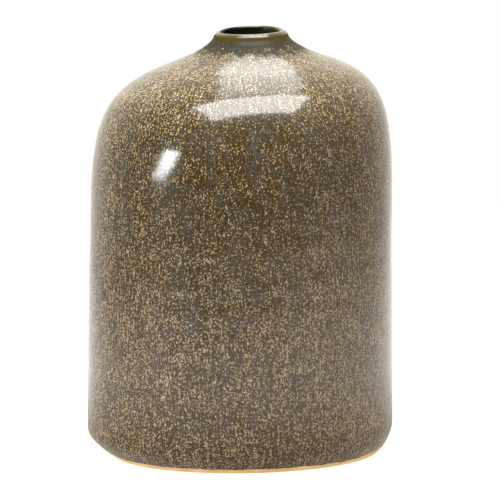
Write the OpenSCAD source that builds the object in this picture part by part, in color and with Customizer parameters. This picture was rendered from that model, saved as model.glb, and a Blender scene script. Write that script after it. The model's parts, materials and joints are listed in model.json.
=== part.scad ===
// Ceramic bud vase: a broad thrown cylinder with a domed shoulder and a small collar.
//
// Each solid is one section of the clay, or one coat of glaze on it. Sections meet face to
// face at their luted joints. The foot stands level on z = 0 with the origin at its centre.
// The pot was thrown a little out of true: the dome rises to one side (+X), and its collar
// sits off the axis of the wall, on that side.

/* [Body] */
// Height of the rim above the table
height = 200; // [190:1:215]
// Radius of the straight part of the wall, over the glaze
wall_r = 71.5; // [68:0.1:74]
// Radius of the swelling just above the foot, over the glaze
swell_r = 72.2; // [68:0.1:75]
// Height of the swelling above the table
swell_z = 14.5; // [12:0.1:22]
// Height of the joint between the wall and the dome
seam_z = 97.4; // [85:0.1:110]

/* [Foot] */
// Radius at which the bevel of the foot meets the table, over the glaze
foot_r = 63.8; // [62:0.1:66]
// Slope of that bevel, in degrees
foot_angle = 49; // [40:0.5:70]
// Reach of the bevel before it turns up into the swelling
foot_reach = 5.5; // [4:0.1:7]
// Share of the curve from the table to the swelling that is left bare
bare_t = 0.2; // [0.15:0.01:0.3]
// Radius inside the foot ring
foot_bore_r = 56; // [50:0.5:57]
// Radius worn on the inner edge of the foot ring
foot_edge_r = 0.7; // [0.3:0.1:1]
// Radius at which the flat of the foot ends and the bevel begins
tread_r = 62.9; // [62:0.1:63.2]

/* [Dome] */
// Radius at which the dome stops curving in and starts to flare up to the collar
flare_r = 38.9; // [36:0.1:50]
// Distance of that circle below the rim
flare_drop = 13.8; // [13:0.1:20]
// Slope of the dome there, in degrees
flare_angle = 20.3; // [18:0.1:32]
// Reach of the curve up from the wall
wall_reach = 50.3; // [40:0.1:52]
// Reach of the curve down the dome from the flare
dome_reach = 37; // [22:0.1:40]

/* [Collar] */
// Outer radius of the round of the lip, over the glaze
collar_r = 17.7; // [16.5:0.1:20]
// Inner radius of the mouth, over the glaze
mouth_r = 13.65; // [11:0.05:14]
// Reach of the flare from the dome
flare_reach = 13.3; // [10:0.1:20]
// Reach of the flare down from the lip
collar_reach = 3.6; // [3:0.1:6]
// Lean of the collar just below the lip, in degrees from upright
lip_lean = 16; // [5:1:40]
// Radius of the lip where it rolls over into the mouth
lip_inner_r = 1; // [0.8:0.1:1.5]

/* [Out of true] */
// Offset of the collar's axis from the axis of the wall and foot
neck_x = 7; // [0:0.1:8]
// Rise of the dome towards +X, in mm per mm of width
tilt = 0.0314; // [0:0.0002:0.05]

/* [Thicknesses] */
// Thickness of the clay wall
clay_t = 4.4; // [3.5:0.1:5.5]
// Thickness of the glaze outside
glaze_t = 0.6; // [0.4:0.1:0.9]
// Thickness of the glaze inside
liner_t = 0.5; // [0.4:0.1:0.8]
// Thickness of the clay floor
floor_t = 4.8; // [4:0.1:6]

/* [Hidden] */
$fn = 144;

bare_clay = [0.88, 0.70, 0.43];
clay_body = [0.80, 0.66, 0.46];
brown_glaze = [0.36, 0.31, 0.23];
lip_olive = [0.30, 0.27, 0.20];
liner_olive = [0.20, 0.18, 0.13];

// Depths below the glazed outside surface
clay_d = glaze_t;
liner_d = glaze_t + clay_t;
inside_d = liner_d + liner_t;

// Slab and wall meet at a bevel, and wall and dome at a joint that slopes down outwards
slab_r = 58;
bevel = 2.5;
seam_slope = 0.6;
// Hairline left at that joint in a coat of glaze, so that its two turnings stay two solids
hairline = 0.02;
// Fillet between the floor and the wall, on the clay
fillet_r = 7;

// The lip is rounded broadly outside and tightly at the mouth, over an upright collar
lip_outer_r = collar_r - mouth_r - lip_inner_r;
lip_top_r = mouth_r + lip_inner_r;
rim_z = height - lip_outer_r;
lip_edge = [lip_top_r, rim_z] + lip_outer_r * [cos(lip_lean), sin(lip_lean)];
clay_bore_r = mouth_r + glaze_t;
flare_dir = [-cos(flare_angle), sin(flare_angle)];
flare_z = height - flare_drop;
// Where the dome's share of the flare ends and the collar begins
joint_t = 0.55;

foot_curve = [[foot_r, 0],
              [foot_r, 0] + foot_reach * [cos(foot_angle), sin(foot_angle)],
              [swell_r, swell_z / 2],
              [swell_r, swell_z]];
// The foot ring ends where the glaze begins
foot_top = skin(foot_curve, bare_t, clay_d).y;
floor_z = foot_top + floor_t;
dome_curve = [[wall_r, seam_z],
              [wall_r, seam_z + wall_reach],
              [flare_r, flare_z] - dome_reach * flare_dir,
              [flare_r, flare_z]];
flare_curve = [[flare_r, flare_z],
               [flare_r, flare_z] + flare_reach * flare_dir,
               lip_edge + collar_reach * [sin(lip_lean), -cos(lip_lean)],
               lip_edge];
// Underside of the clay where the dome narrows into the collar
throat_start = skin(dome_curve, 1, liner_d);
throat_curve = [throat_start,
                throat_start + [-10.3, 4.2],
                [clay_bore_r, height - 13.5],
                [clay_bore_r, height - 9]];

function bez(p, t) = pow(1 - t, 3) * p[0] + 3 * t * pow(1 - t, 2) * p[1]
    + 3 * t * t * (1 - t) * p[2] + pow(t, 3) * p[3];
function slope(p, t) = pow(1 - t, 2) * (p[1] - p[0]) + 2 * t * (1 - t) * (p[2] - p[1])
    + t * t * (p[3] - p[2]);
// The point of a curve at t, moved a depth d into the pot
function skin(p, t, d) = bez(p, t) + d * [-slope(p, t).y, slope(p, t).x] / norm(slope(p, t));
function path(p, d, n, from = 0, to = 1) =
    [for (i = [0:n]) skin(p, from + (to - from) * i / n, d)];
function arc(centre, r, from, to, n = 12) =
    [for (i = [0:n]) centre + r * [cos(from + (to - from) * i / n),
                                   sin(from + (to - from) * i / n)]];
function backwards(list) = [for (i = [len(list) - 1:-1:0]) list[i]];
function smooth(t) = let (s = min(max(t, 0), 1)) s * s * (3 - 2 * s);

// Outlines from the bottom up, at a depth below the glazed surface
joint_z = skin(flare_curve, joint_t, clay_d).y;
inner_r = wall_r - liner_d;
function seam_point(d) = [wall_r - d, seam_z + seam_slope * d];
function wall_side(d) = concat(
    path(foot_curve, d, 10, bare_t, 1),
    [[wall_r - d, seam_z / 2], seam_point(d)]);
function dome_side(d, gap = 0) =
    concat([seam_point(d) + [0, gap]], path(dome_curve, d, 15, 0.1, 1));
function flare_side(d) = path(flare_curve, d, 7, 0.1, joint_t);
function throat(d) = path(throat_curve, d, 8, 0.1, 1);
// The lip from the outside, over the top, to the inside of the mouth
function lip_side(d) = concat(
    arc([lip_top_r, rim_z], lip_outer_r - d, lip_lean + 8, 90),
    arc([lip_top_r, height - lip_inner_r], lip_inner_r - d, 100, 180, 6));
// The inside of the wall from the fillet up, at a depth above the clay
function wall_inside(d) = concat(
    arc([inner_r - fillet_r, floor_z + fillet_r], fillet_r - d, -90, 0),
    [seam_point(liner_d + d)]);

// Above the seam the axis drifts towards +X, and the turned circles rise on that side
function drift(z) = neck_x * pow((z - seam_z) / (joint_z - seam_z), 2);
function rise(z) = tilt * smooth((z - seam_z - 4) / 45) * smooth((joint_z - z) / 9);

// A closed outline carried round the drifting axis
sides = 48;
module thrown(outline) {
    count = len(outline);
    points = [for (p = outline, i = [0:sides - 1])
        let (x = p.x * cos(360 * i / sides))
        [drift(p.y) + x, p.x * sin(360 * i / sides), p.y + rise(p.y) * x]];
    faces = [for (j = [0:count - 1], i = [0:sides - 1])
        let (k = (j + 1) % count, n = (i + 1) % sides)
        each [[j * sides + i, k * sides + i, k * sides + n],
              [j * sides + i, k * sides + n, j * sides + n]]];
    polyhedron(points, faces);
}

// A closed outline turned true, on the axis of the wall or at x, on that of the collar
module turned(outline, x = 0) translate([x, 0, 0]) rotate_extrude() polygon(outline);

module foot_ring() color(bare_clay) turned(concat(
    [[foot_bore_r, foot_top]],
    arc([foot_bore_r + foot_edge_r, foot_edge_r], foot_edge_r, 180, 270),
    [[tread_r, 0]],
    path(foot_curve, clay_d, 5, 0, bare_t)));

module base_slab() color(bare_clay) translate([0, 0, foot_top])
    cylinder(r1 = slab_r, r2 = slab_r + bevel, h = floor_t);

module body_wall() color(clay_body) turned(concat(
    [[slab_r, foot_top]],
    wall_side(clay_d),
    backwards(wall_inside(0)),
    [[slab_r + bevel, floor_z]]));

module shoulder() color(clay_body) thrown(concat(
    dome_side(clay_d),
    flare_side(clay_d),
    [[clay_bore_r, joint_z]],
    backwards(throat(0)),
    backwards(dome_side(liner_d))));

module neck() color(clay_body) turned(concat(
    [[clay_bore_r, joint_z]],
    path(flare_curve, clay_d, 8, joint_t, 1),
    lip_side(clay_d)), neck_x);

module outer_glaze() color(brown_glaze) {
    turned(concat(wall_side(0), backwards(wall_side(clay_d))));
    thrown(concat(
        dome_side(0, hairline),
        flare_side(0),
        backwards(flare_side(clay_d)),
        backwards(dome_side(clay_d, hairline))));
}

module lip_glaze() color(lip_olive) turned(concat(
    path(flare_curve, 0, 8, joint_t, 1),
    lip_side(0),
    [[mouth_r, joint_z], [clay_bore_r, joint_z]],
    backwards(lip_side(clay_d)),
    backwards(path(flare_curve, clay_d, 8, joint_t, 1))), neck_x);

module liner_glaze() color(liner_olive) {
    turned(concat(
        [[0, floor_z]],
        wall_inside(0),
        backwards(wall_inside(liner_t)),
        [[0, floor_z + liner_t]]));
    thrown(concat(
        dome_side(liner_d, hairline),
        throat(0),
        [[clay_bore_r, joint_z], [mouth_r, joint_z]],
        backwards(throat(liner_t)),
        backwards(dome_side(inside_d, hairline))));
}

foot_ring();
base_slab();
body_wall();
shoulder();
neck();
outer_glaze();
lip_glaze();
liner_glaze();
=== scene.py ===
import json
import math

import bpy
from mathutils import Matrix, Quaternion, Vector, noise


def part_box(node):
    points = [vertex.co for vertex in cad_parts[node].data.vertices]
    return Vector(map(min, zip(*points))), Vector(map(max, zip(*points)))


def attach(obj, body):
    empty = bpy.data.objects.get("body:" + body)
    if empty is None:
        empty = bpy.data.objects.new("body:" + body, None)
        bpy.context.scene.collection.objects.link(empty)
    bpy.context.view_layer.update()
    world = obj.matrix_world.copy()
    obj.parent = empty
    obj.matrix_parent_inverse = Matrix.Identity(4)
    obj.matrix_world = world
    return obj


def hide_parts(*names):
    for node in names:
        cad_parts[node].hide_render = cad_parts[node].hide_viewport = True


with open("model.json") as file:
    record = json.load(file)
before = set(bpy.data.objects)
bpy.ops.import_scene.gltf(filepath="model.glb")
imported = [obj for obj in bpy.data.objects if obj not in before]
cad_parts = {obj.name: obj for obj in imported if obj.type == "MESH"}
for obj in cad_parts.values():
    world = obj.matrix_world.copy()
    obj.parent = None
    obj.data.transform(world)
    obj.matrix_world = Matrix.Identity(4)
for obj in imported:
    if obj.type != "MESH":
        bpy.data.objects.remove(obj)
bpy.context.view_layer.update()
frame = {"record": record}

# A broad glazed bud vase. The pot's outlines are pairs of (radius, height) in millimetres,
# turned round an axis that drifts off true, and every mesh is made in metres.
MM = 0.001

# ---------------------------------------------------------------- sizes, from the frame
record = frame["record"]
mouth = next(m for m in record["mounts"] if m["name"] == "mouth")
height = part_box("lip_glaze")[1].z / MM
wall_r = 71.5
foot_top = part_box("foot_ring")[1].z / MM
floor_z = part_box("base_slab")[1].z / MM
mouth_r = mouth["dims"]["r_mm"]

glaze_t = 0.6
clay_t = 4.4
liner_t = 0.5
foot_r = 63.8
swell_r = 72.2
swell_z = 14.5
seam_z = 97.4
inner_round = 1.0
outer_round = 3.05
lip_top = mouth_r + inner_round
lip_face = math.radians(16)
rim_z = height - outer_round
clay_bore_r = mouth_r + glaze_t
joint_t = 0.55
foot_bore_r = 56.0
slab_r = 58.0
slab_bevel = 2.5
fillet_r = 7.0

# Depths of the clay, the liner and the inside below the glazed surface
clay_d = glaze_t
liner_d = glaze_t + clay_t
inside_d = liner_d + liner_t
inner_r = wall_r - liner_d


# ---------------------------------------------------------------- curves of the outline
def bezier(points, t):
    a, b, c, d = points
    s = 1 - t
    return tuple(s**3 * a[k] + 3 * t * s * s * b[k] + 3 * t * t * s * c[k] + t**3 * d[k]
                 for k in (0, 1))


def skin(points, t, depth):
    """The point of a curve at t, moved a depth into the pot."""
    a, b, c, d = points
    s = 1 - t
    run = [s * s * (b[k] - a[k]) + 2 * t * s * (c[k] - b[k]) + t * t * (d[k] - c[k])
           for k in (0, 1)]
    size = math.hypot(*run)
    r, z = bezier(points, t)
    return r - depth * run[1] / size, z + depth * run[0] / size


def along(points, depth, steps, start=0.0, stop=1.0):
    return [skin(points, start + (stop - start) * i / steps, depth) for i in range(steps + 1)]


def straight(a, b, steps):
    return [(a[0] + (b[0] - a[0]) * i / steps, a[1] + (b[1] - a[1]) * i / steps)
            for i in range(steps + 1)]


def arc(centre, radius, start, stop, steps):
    angles = [math.radians(start + (stop - start) * i / steps) for i in range(steps + 1)]
    return [(centre[0] + radius * math.cos(a), centre[1] + radius * math.sin(a))
            for a in angles]


def smooth(t):
    t = min(max(t, 0.0), 1.0)
    return t * t * (3 - 2 * t)


flare = (39.3, height - 14.6)
slope = math.radians(19.3)
rising = (-math.cos(slope), math.sin(slope))
foot_curve = [(foot_r, 0.0), (foot_r + 3.6, 4.15), (swell_r, swell_z / 2), (swell_r, swell_z)]
dome_curve = [(wall_r, seam_z), (wall_r, seam_z + 53.1),
              (flare[0] - 36.2 * rising[0], flare[1] - 36.2 * rising[1]), flare]
lip_foot = (lip_top + outer_round * math.cos(lip_face), rim_z + outer_round * math.sin(lip_face))
flare_curve = [flare, (flare[0] + 13.9 * rising[0], flare[1] + 13.9 * rising[1]),
               (lip_foot[0] + 3.7 * math.sin(lip_face), lip_foot[1] - 3.7 * math.cos(lip_face)),
               lip_foot]
throat_start = skin(dome_curve, 1, liner_d)
throat_curve = [throat_start, (throat_start[0] - 10.3, throat_start[1] + 4.2),
                (clay_bore_r, height - 13.5), (clay_bore_r, height - 9)]
joint_z = skin(flare_curve, joint_t, clay_d)[1]
# Where the coat of glaze stops on the foot's curve
edge_t = 0.22
edge_z = bezier(foot_curve, edge_t)[1]


# ---------------------------------------------------------------- the pot's own irregularity
def drift(z):
    """How far the axis has wandered towards +X at a height."""
    leaning = 0.018 * (z - 45)
    pulled = 4.7 * min(max(z - 100, 0.0) / 92, 1.0) ** 4
    foot_off = 2.6 * (1 - smooth(z / 12))
    return leaning + pulled + foot_off


def rise(z):
    """How much higher the dome's circles stand on the +X side, per mm of width."""
    return 0.0314 * smooth((z - seam_z + 15) / 55) - 0.016 * smooth((z - 180) / 17)


def ripple(angle, z):
    """Throwing ripples left in the wall, in mm."""
    spot = Vector((1.3 * math.cos(angle), 1.3 * math.sin(angle), z / 9))
    return 0.10 * noise.noise(spot) * smooth(z / 20) * smooth((height - z) / 20)


def place(r, z, angle):
    """A point of the pot in metres, from its outline's radius and height and its angle."""
    side, far = math.cos(angle), math.sin(angle)
    # The wall is flattened a little on the -X side, and the lip stands up at the back
    flat = 0.8 * smooth((-side - 0.3) / 0.7) * smooth((z - 85) / 40) * smooth((178 - z) / 30)
    lifted = 0.9 * smooth(far) * smooth((z - 189) / 9)
    x = (r - flat) * side
    return ((drift(z) + x) * MM, (r - flat) * far * MM, (z + rise(z) * x + lifted) * MM)


def glaze_edge(angle):
    """Height above the bare foot at which the coat of glaze stops, in mm."""
    on_right = smooth((math.cos(angle) - 0.75) / 0.25)
    on_left = smooth((-math.cos(angle) - 0.80) / 0.20)
    spot = Vector((9 * math.cos(angle), 9 * math.sin(angle), 0.0))
    fine = Vector((40 * math.cos(angle), 40 * math.sin(angle), 3.0))
    wander = 0.35 * noise.noise(spot) + 0.25 * noise.noise(fine)
    return 2.3 + 2.0 * on_right + 1.2 * on_left + wander


def turned(name, outline, node, finish, sides=256, shape=place):
    """A closed outline turned round the pot's axis, as one closed mesh."""
    rows = len(outline)
    turns = [2 * math.pi * i / sides for i in range(sides)]
    points = [shape(r, z, a) for r, z in outline for a in turns]
    faces = [(j * sides + i, j * sides + (i + 1) % sides,
              (j + 1) % rows * sides + (i + 1) % sides, (j + 1) % rows * sides + i)
             for j in range(rows) for i in range(sides)]
    mesh = bpy.data.meshes.new(name)
    mesh.from_pydata(points, [], faces)
    mesh.shade_smooth()
    mesh.set_sharp_from_angle(angle=math.radians(40))
    piece = bpy.data.objects.new(name, mesh)
    bpy.context.scene.collection.objects.link(piece)
    mesh.materials.append(finish)
    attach(piece, "root")
    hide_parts(node)
    return piece


# ---------------------------------------------------------------- materials
class Wire:
    """A socket in a recipe. Arithmetic on wires adds Math nodes."""

    def __init__(self, recipe, socket):
        self.recipe, self.socket = recipe, socket

    def _maths(self, operation, a, b):
        return self.recipe.node("ShaderNodeMath", {"operation": operation}, {0: a, 1: b})

    def __add__(self, other):
        return self._maths("ADD", self, other)

    __radd__ = __add__

    def __sub__(self, other):
        return self._maths("SUBTRACT", self, other)

    def __rsub__(self, other):
        return self._maths("SUBTRACT", other, self)

    def __mul__(self, other):
        return self._maths("MULTIPLY", self, other)

    __rmul__ = __mul__

    def __truediv__(self, other):
        return self._maths("DIVIDE", self, other)

    def __pow__(self, other):
        return self._maths("POWER", self, other)


class Recipe:
    """The nodes that a material, or the studio's air, is mixed from."""

    def __init__(self, block):
        block.use_nodes = True
        self.block, self.tree = block, block.node_tree
        self.tree.nodes.clear()

    def node(self, kind, settings=None, sockets=None, out=0):
        """Adds a node: its settings first, then the values or wires of its sockets."""
        made = self.tree.nodes.new(kind)
        for key, value in (settings or {}).items():
            setattr(made, key, value)
        for key, value in (sockets or {}).items():
            if isinstance(value, Wire):
                self.tree.links.new(value.socket, made.inputs[key])
            else:
                made.inputs[key].default_value = value
        return Wire(self, made.outputs[out]) if len(made.outputs) else made

    def step(self, value, low, high):
        """0 below low, 1 above high, and smooth between."""
        return self.node("ShaderNodeMapRange", {"interpolation_type": "SMOOTHSTEP"},
                         {"Value": value, "From Min": low, "From Max": high})

    def noise(self, where, scale, detail=2.0, rough=0.5):
        return self.node("ShaderNodeTexNoise", {"noise_dimensions": "3D"},
                         {"Vector": where, "Scale": scale, "Detail": detail,
                          "Roughness": rough})

    def mix(self, factor, a, b):
        """A mix of two colours, either of them a wire or a plain colour."""
        a = a if isinstance(a, Wire) else (*a, 1.0)
        b = b if isinstance(b, Wire) else (*b, 1.0)
        return self.node("ShaderNodeMix", {"data_type": "RGBA"}, {0: factor, 6: a, 7: b}, out=2)

    def stretched(self, x, y, z):
        return self.node("ShaderNodeCombineXYZ", {}, {"X": x, "Y": y, "Z": z})

    def surface(self, colour, roughness, normal, **constants):
        sockets = {"Base Color": colour, "Roughness": roughness, "Normal": normal, **constants}
        shader = self.node("ShaderNodeBsdfPrincipled", {}, sockets)
        self.node("ShaderNodeOutputMaterial", {}, {"Surface": shader})
        return self.block


def pot_place(mix):
    """The place in the pot, its x, y and z, and its distance from the axis."""
    here = mix.node("ShaderNodeTexCoord", out="Object")
    x, y, z = (mix.node("ShaderNodeSeparateXYZ", {}, {"Vector": here}, out=k) for k in "XYZ")
    return here, x, y, z, (x * x + y * y) ** 0.5 + 0.0005


def speckled_glaze(name, shine):
    """Brown stoneware glaze with blue-grey runs and a dense speckle of tan crystals, with painted
    sheen and shade in its colour.
    """
    mix = Recipe(bpy.data.materials.new(name))
    here, x, y, z, radius = pot_place(mix)
    # The same place moved out or in to the mean radius, and the way a run takes down the pot
    round_x, round_y = x / radius * MEAN_RADIUS, y / radius * MEAN_RADIUS
    run = z - radius
    wobble = mix.noise(here, 240, 2) - 0.5
    collar = mix.step(z + 0.007 * wobble, 0.1885, 0.1925)
    sparse = mix.step(z + 0.009 * wobble, 0.1900, 0.1985)
    # Painted reflection: low down, where the floor is mirrored, and on the right, where the
    # bright room is mirrored, a pale sheen is painted into the colour
    lower = mix.step(z, 0.150, 0.045)
    right_sheen = mix.step(x, -0.020, 0.060)
    shaded = mix.step(z + 0.5 * x, 0.100, 0.140) * mix.step(z, 0.175, 0.160)
    # Painted light: the upper left, where more light falls, gets more crystals
    painted_light_high_left = mix.step(z - 0.35 * x, 0.160, 0.180)
    foot = mix.step(z, 0.038, 0.006)

    # Runs in the ground, the fine ones a millimetre wide
    fine_runs = mix.noise(mix.stretched(round_x, round_y, run * 0.13), 1150, 2, 0.6)
    runs = mix.noise(mix.stretched(round_x, round_y, run * 0.17), 560, 2, 0.55)
    broad = mix.noise(mix.stretched(round_x, round_y, run * 0.4), 95, 2, 0.5)
    clouds = mix.noise(here, 30, 2, 0.5)
    ground = mix.mix(mix.step(clouds, 0.36, 0.62), OLIVE, UMBER)
    # Towards the foot the ground turns plum and the slate runs fade: partly the thick roll of
    # glaze there, partly painted shade where the wall turns under towards the floor
    ground = mix.mix(foot * 0.75, ground, PLUM)
    # Painted reflection: the taupe laid over the right side and low down is painted sheen, not
    # glaze colour
    painted_sheen = right_sheen * 0.38 + lower * 0.15
    ground = mix.mix(painted_sheen, ground, SHEEN_TAUPE)
    threads = mix.noise(mix.stretched(round_x + 0.03, round_y, run * 0.22), 1400, 1, 0.5)
    blue = mix.step(threads + 0.35 * (runs - 0.5) + 0.4 * (broad - 0.5), 0.515, 0.61)
    ground = mix.mix(blue * (0.80 - 0.6 * foot), ground, SLATE)

    # Crystals stand in short chains. Their number also paints light and shade: more of them
    # lighten the parts low down, on the right, at the sides and high on the left, where more
    # light and sheen fall, and fewer of them darken the front and the shaded band high on it
    drawn = mix.stretched(x, y, z * 0.85)
    grain = mix.noise(drawn, 1650, 3, 0.62)
    seeds = mix.node("ShaderNodeTexVoronoi", {"feature": "F1"},
                     {"Vector": drawn, "Scale": 930, "Randomness": 0.95}, out="Distance")
    crowding = mix.noise(here, 95, 2, 0.5)
    # Painted light: more crystals at the sides, where the sheen falls, and fewer at the front and
    # back
    painted_side_sheen = 8.0 * x * x - 0.016
    amount = (grain + 0.30 * (0.42 - seeds) + 0.10 * (crowding - 0.5)
              + 0.34 * (fine_runs - 0.5) + 0.028 * lower + 0.02 * right_sheen - 0.022 * shaded
              + 0.024 * painted_light_high_left + painted_side_sheen - 0.05 * blue - 0.26 * sparse)
    crystals = mix.step(amount, 0.50, 0.60)
    tint = mix.noise(here, 420, 1, 0.5)
    # Painted reflection: under the same sheen the crystals are painted paler and duller
    crystal_sheen = right_sheen * 0.45 + lower * 0.2
    crystal = mix.mix(mix.step(tint, 0.32, 0.68), TAN, SAND)
    crystal = mix.mix(crystal_sheen, crystal, SHEEN_PUTTY)
    colour = mix.mix(crystals, ground, crystal)

    # Round the collar the coat is thin: olive at the lip, slate below it
    drips = mix.step(z + 0.006 * (fine_runs - 0.5) + 0.003 * (clouds - 0.5), 0.1950, 0.1985)
    thin = mix.mix(drips, mix.mix(mix.step(runs, 0.40, 0.62), SLATE_OLIVE, SLATE_BLUE), LIP_OLIVE)
    colour = mix.mix(collar * (1 - 0.8 * crystals), colour, thin)
    # Painted shade: the inside of the mouth is painted near-black, standing in for the shade deep
    # in the mouth
    off_axis = x - MOUTH_X
    bore = (off_axis * off_axis + y * y) ** 0.5
    inside = mix.step(bore + 0.0004 * wobble, 0.0144, 0.0138)
    colour = mix.mix(inside, colour, MOUTH_SHADE)

    bead = mix.step(z, 0.1985, 0.1992)
    dry = mix.step(z, 0.045, 0.010)
    coat = 0.95 + 0.55 * (fine_runs - 0.5) + 0.15 * (runs - 0.5) + 0.04 * crystals - 0.08 * blue
    coat = coat * (1 - 0.94 * collar * (1 - bead)) * (1 - 0.8 * inside)
    coat = coat * (1 - 0.8 * dry)
    roughness = 0.46 - 0.12 * blue + 0.10 * crystals + 0.3 * collar * (1 - bead)
    bump = mix.node("ShaderNodeBump", {}, {"Strength": 0.4, "Distance": 0.00015,
                                           "Height": fine_runs * 0.6 + crystals * 0.3})
    return mix.surface(colour, roughness, bump,
                       **{"IOR": 1.13, "Coat Weight": coat, "Coat Roughness": 0.13,
                          "Coat IOR": shine})


def lining_glaze(name):
    """Dark olive glaze poured round the inside."""
    mix = Recipe(bpy.data.materials.new(name))
    here = mix.node("ShaderNodeTexCoord", out="Object")
    pools = mix.noise(here, 60, 3, 0.55)
    fine = mix.noise(here, 700, 2, 0.5)
    colour = mix.mix(mix.step(pools, 0.4, 0.6), (0.010, 0.009, 0.004), (0.022, 0.019, 0.009))
    colour = mix.mix(mix.step(fine, 0.60, 0.68) * 0.5, colour, (0.07, 0.055, 0.03))
    bump = mix.node("ShaderNodeBump", {}, {"Strength": 0.25, "Distance": 0.0002,
                                           "Height": pools + fine * 0.2})
    return mix.surface(colour, 0.14 + pools * 0.08, bump, IOR=1.45)


def fired_clay(name):
    """Golden buff clay, turned and left bare."""
    mix = Recipe(bpy.data.materials.new(name))
    here, _, _, z, radius = pot_place(mix)
    grog = mix.noise(here, 1400, 3, 0.65)
    patches = mix.noise(here, 110, 3, 0.5)
    turning = mix.node("ShaderNodeMath", {"operation": "SINE"}, {0: (radius + z) * 5200})
    colour = mix.mix(mix.step(patches, 0.3, 0.7), (0.64, 0.405, 0.150), (0.75, 0.510, 0.225))
    colour = mix.mix(mix.step(grog, 0.56, 0.66) * 0.5, colour, (0.55, 0.32, 0.12))
    bump = mix.node("ShaderNodeBump", {}, {"Strength": 0.5, "Distance": 0.0003,
                                           "Height": grog * 0.6 + turning * 0.12})
    return mix.surface(colour, 0.72 + grog * 0.15, bump)


# Colours of the glazes, and of the sheen and shade painted into them
OLIVE = (0.033, 0.0210, 0.0030)
UMBER = (0.044, 0.0225, 0.0035)
PLUM = (0.048, 0.029, 0.014)
SHEEN_TAUPE = (0.092, 0.058, 0.029)
SLATE = (0.053, 0.052, 0.044)
TAN = (0.275, 0.192, 0.098)
SAND = (0.425, 0.315, 0.182)
SHEEN_PUTTY = (0.235, 0.175, 0.115)
SLATE_BLUE = (0.025, 0.026, 0.021)
SLATE_OLIVE = (0.028, 0.021, 0.008)
LIP_OLIVE = (0.050, 0.037, 0.009)
# Painted shade for the inside of the mouth
MOUTH_SHADE = (0.004, 0.004, 0.002)
# The pot's mean radius, and how far the mouth's axis stands towards +X, in metres
MEAN_RADIUS = 0.07
MOUTH_X = 0.0068

speckle = speckled_glaze("Speckled_glaze", 1.45)
lip_speckle = speckled_glaze("Lip_glaze", 1.65)
lining = lining_glaze("Lining_glaze")
clay = fired_clay("Fired_clay")


# ---------------------------------------------------------------- the pieces
def wall_outline(depth, steps):
    return (along(foot_curve, depth, steps // 3, edge_t, 1.0)[:-1]
            + [(swell_r - depth + (wall_r - swell_r) * smooth(0.5 * i / steps) * 2,
                swell_z + (seam_z - swell_z) * i / steps) for i in range(steps)])


def dome_outline(depth, steps):
    return along(dome_curve, depth, steps)


def flare_outline(depth, steps):
    return along(flare_curve, depth, steps, 0.0, joint_t)[1:]


def glazed(r, z, angle):
    """The coat of glaze, whose lower edge wanders along the foot and ends in a soft roll."""
    lift = (glaze_edge(angle) - edge_z) * (1 - smooth((z - edge_z) / 9))
    outward = 0.55 * lift * (1 - smooth((z - edge_z) / 6))
    return place(r + outward + ripple(angle, z), z + lift, angle)


def coat_of_glaze():
    outside = wall_outline(0, 75) + dome_outline(0, 110) + flare_outline(0, 24)
    inside = wall_outline(clay_d, 24) + dome_outline(clay_d, 30) + flare_outline(clay_d, 8)
    return turned("Outer_glaze", outside + inside[::-1],
                  "outer_glaze", speckle, 384, glazed)


def lip_round(depth, steps):
    """The lip from the outside over the top to the inside of the mouth."""
    return (arc((lip_top, rim_z), outer_round - depth, math.degrees(lip_face), 90, steps)
            + arc((lip_top, height - inner_round), inner_round - depth, 90, 180, steps)[1:])


def lip():
    outside = (along(flare_curve, 0, 20, joint_t, 1) + lip_round(0, 14)[1:]
               + straight((mouth_r, height - inner_round), (mouth_r, joint_z), 10)[1:])
    inside = ([(clay_bore_r, joint_z)] + lip_round(clay_d, 6)[::-1]
              + along(flare_curve, clay_d, 8, 1, joint_t)[1:])
    return turned("Lip_glaze", outside + inside, "lip_glaze", lip_speckle)


def liner():
    corner = (inner_r - fillet_r, floor_z + fillet_r)
    clay_side = ([(0.4, floor_z)] + arc(corner, fillet_r, -90, 0, 10)
                 + straight((inner_r, 20), (inner_r, seam_z), 8)
                 + along(dome_curve, liner_d, 24)[1:]
                 + along(throat_curve, 0, 12)[1:])
    wet_side = ([(0.4, floor_z + liner_t)] + arc(corner, fillet_r - liner_t, -90, 0, 10)
                + straight((inner_r - liner_t, 20), (inner_r - liner_t, seam_z), 8)
                + along(dome_curve, inside_d, 48)[1:]
                + along(throat_curve, liner_t, 24)[1:] + [(mouth_r, joint_z)])
    return turned("Liner_glaze", clay_side + wet_side[::-1],
                  "liner_glaze", lining, 192)


def clay_wall():
    corner = (inner_r - fillet_r, floor_z + fillet_r)
    outside = along(foot_curve, clay_d, 20, 0.2, 1)
    outside = [(r, max(z, foot_top)) for r, z in outside if z > foot_top - 0.3]
    outside += straight((wall_r - clay_d, 30), (wall_r - clay_d, seam_z), 8)
    inside = straight((inner_r, seam_z), (inner_r, 20), 8) + arc(corner, fillet_r, 0, -90, 10)[1:]
    outline = [(slab_r, foot_top)] + outside + inside + [(slab_r + slab_bevel, floor_z)]
    return turned("Body_wall", outline, "body_wall", clay)


def clay_shoulder():
    outside = dome_outline(clay_d, 40) + flare_outline(clay_d, 10)
    inside = along(throat_curve, 0, 12, 1, 0) + along(dome_curve, liner_d, 30, 1, 0)[1:]
    return turned("Shoulder", outside + [(clay_bore_r, joint_z)] + inside[1:],
                  "shoulder", clay, 192)


def clay_neck():
    outline = ([(clay_bore_r, joint_z)] + along(flare_curve, clay_d, 10, joint_t, 1)
               + lip_round(clay_d, 6)[1:])
    return turned("Neck", outline, "neck", clay, 192)


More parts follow.
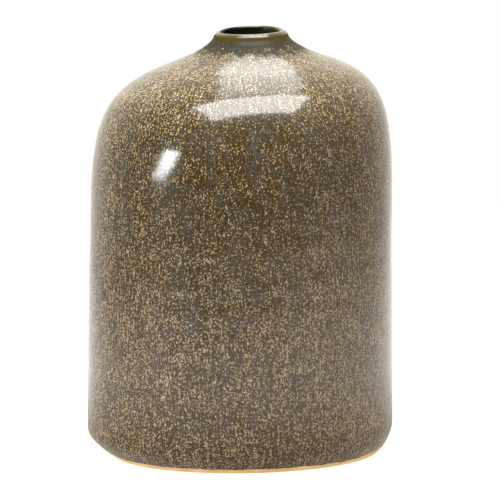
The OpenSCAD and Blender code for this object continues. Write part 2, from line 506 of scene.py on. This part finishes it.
def foot():
    outside = [p for p in along(foot_curve, clay_d, 24, 0.0, 0.4) if 0.7 < p[1] < foot_top]
    outline = ([(foot_bore_r, foot_top)] + arc((foot_bore_r + 0.7, 0.7), 0.7, 180, 270, 6)
               + straight((foot_bore_r + 0.9, 0.0), (foot_r - 1.6, 0.0), 10)
               + arc((foot_r - 1.5, 0.9), 0.9, 270, 320, 5) + outside
               + [(outside[-1][0] + 0.2, foot_top)])
    return turned("Foot_ring", outline, "foot_ring", clay)


def base():
    """The clay floor: bare below, where the turning tool left rings and a small dimple."""
    under = [(r, foot_top + 0.12 * math.sin(r / 1.3) * smooth((57 - r) / 4)
              + 0.5 * (1 - smooth(r / 4))) for r in [0.3 + 57.5 * i / 140 for i in range(141)]]
    outline = under + [(slab_r + slab_bevel, floor_z), (0.3, floor_z)]
    return turned("Base_slab", outline, "base_slab", clay, 192)


for make in (coat_of_glaze, lip, liner, clay_wall, clay_shoulder, clay_neck, foot, base):
    make()


# ---------------------------------------------------------------- studio
def studio_floor():
    """A floor that glows with painted light round and behind the vase, and is painted dark in
    front and at the sides, where the room is dim.
    """
    bpy.ops.mesh.primitive_circle_add(vertices=128, radius=0.85, fill_type="NGON")
    ground = bpy.context.object
    ground.name = "Studio_floor"
    mix = Recipe(bpy.data.materials.new("Floor_paper"))
    here = mix.node("ShaderNodeTexCoord", out="Object")
    x, y = (mix.node("ShaderNodeSeparateXYZ", {}, {"Vector": here}, out=k) for k in "XY")
    # Painted light and shade: round and behind the vase the floor glows and is paler, in front
    # and at the sides it is painted dark
    lit = mix.step(y, -0.80, -0.30) * (1 - 0.7 * mix.step(x * x, 0.04, 0.50))
    tooth = mix.noise(here, 900, 2, 0.5)
    bump = mix.node("ShaderNodeBump", {}, {"Strength": 0.05, "Distance": 0.0002,
                                           "Height": tooth})
    paper = mix.mix(lit, (0.04, 0.04, 0.04), (0.14, 0.14, 0.14))
    painted_glow = mix.mix(lit, (0.0, 0.0, 0.0), (1.0, 0.985, 0.965))
    ground.data.materials.append(mix.surface(
        paper, 0.9, bump, **{"Emission Color": painted_glow, "Emission Strength": 0.97}))


def softbox(name, centre, target, width, depth, watts, colour, spin=0.0):
    data = bpy.data.lights.new(name, "AREA")
    data.shape = "RECTANGLE"
    data.size, data.size_y, data.energy = width, depth, watts
    data.color = colour
    lamp = bpy.data.objects.new(name, data)
    lamp.location = centre
    facing = (Vector(target) - Vector(centre)).to_track_quat("-Z", "Y")
    lamp.rotation_mode = "QUATERNION"
    lamp.rotation_quaternion = facing @ Quaternion((0, 0, 1), math.radians(spin))
    bpy.context.scene.collection.objects.link(lamp)


def studio_air():
    """White paper behind and beside the vase, and a dim room in front of it."""
    world = bpy.data.worlds.new("Studio")
    bpy.context.scene.world = world
    mix = Recipe(world)
    here = mix.node("ShaderNodeTexCoord", out="Generated")
    x, y = (mix.node("ShaderNodeSeparateXYZ", {}, {"Vector": here}, out=k) for k in "XY")
    lit = mix.step(y - 0.09 * x, -0.10, 1.00)
    room = mix.node("ShaderNodeBackground", {}, {"Color": (0.06, 0.058, 0.054, 1.0)})
    paper = mix.node("ShaderNodeBackground", {}, {"Color": (1.07, 1.015, 0.910, 1.0)})
    paper = mix.node("ShaderNodeMixShader", {}, {0: lit, 1: room, 2: paper})
    white = mix.node("ShaderNodeBackground", {}, {"Color": (1.0, 1.0, 1.0, 1.0)})
    seen = mix.node("ShaderNodeLightPath", out="Is Camera Ray")
    air = mix.node("ShaderNodeMixShader", {}, {0: seen, 1: paper, 2: white})
    mix.node("ShaderNodeOutputWorld", {}, {"Surface": air})


def camera():
    data = bpy.data.cameras.new("Camera")
    data.sensor_width = 36.0
    data.lens = 488.1
    data.clip_end = 50.0
    eye = bpy.data.objects.new("Camera", data)
    bpy.context.scene.collection.objects.link(eye)
    distance, tilt, roll = 3.2, 0.1387, 0.0159
    aim = Vector((5.44, -0.53, 96.17)) * MM
    back = Vector((0.0, -math.cos(tilt), math.sin(tilt)))
    eye.location = aim + back * distance
    turn = (-back).to_track_quat("-Z", "Y")
    eye.rotation_mode = "QUATERNION"
    eye.rotation_quaternion = turn @ Quaternion((0, 0, 1), -roll)
    bpy.context.scene.camera = eye


camera()
studio_floor()
studio_air()
# A cloth overhead behind, in three lengths that narrow away, and a stronger one in front
SKY, DAYLIGHT, WHITE = (0.88, 0.97, 1.0), (0.96, 0.99, 1.0), (0.97, 0.99, 1.0)
CLOTH_Z = 1.20
for name, x, y, width, depth, watts, spin, colour in (
        ("Overhead_far_back", 0.035, 0.930, 0.45, 0.46, 3.0, 4, SKY),
        ("Overhead_far_middle", 0.070, 0.550, 0.57, 0.30, 2.6, 4, SKY),
        ("Overhead_far_front", 0.095, 0.209, 0.69, 0.385, 4.5, 4, SKY),
        ("Overhead_near", 0.080, -0.410, 1.31, 0.72, 46.2, 7, DAYLIGHT)):
    softbox(name, (x, y, CLOTH_Z), (x, y, 0.0), width, depth, watts, colour, spin)
# A slim window on the left in five lengths, each lower, further round and weaker than the last
SIDE_AIM, SIDE_AWAY = (-0.04, -0.06, 0.15), 1.13
for step in range(5):
    side, up = math.radians(58.5 + 2.4 * step), math.radians(12 - 2.6 * step)
    spot = (SIDE_AIM[0] - SIDE_AWAY * math.sin(side) * math.cos(up),
            SIDE_AIM[1] - SIDE_AWAY * math.cos(side) * math.cos(up),
            SIDE_AIM[2] + SIDE_AWAY * math.sin(up))
    softbox(f"Side_left_{step}", spot, SIDE_AIM, 0.25, 0.053, 1.72 - 0.25 * step, WHITE)

view = bpy.context.scene.view_settings
view.view_transform = "Standard"
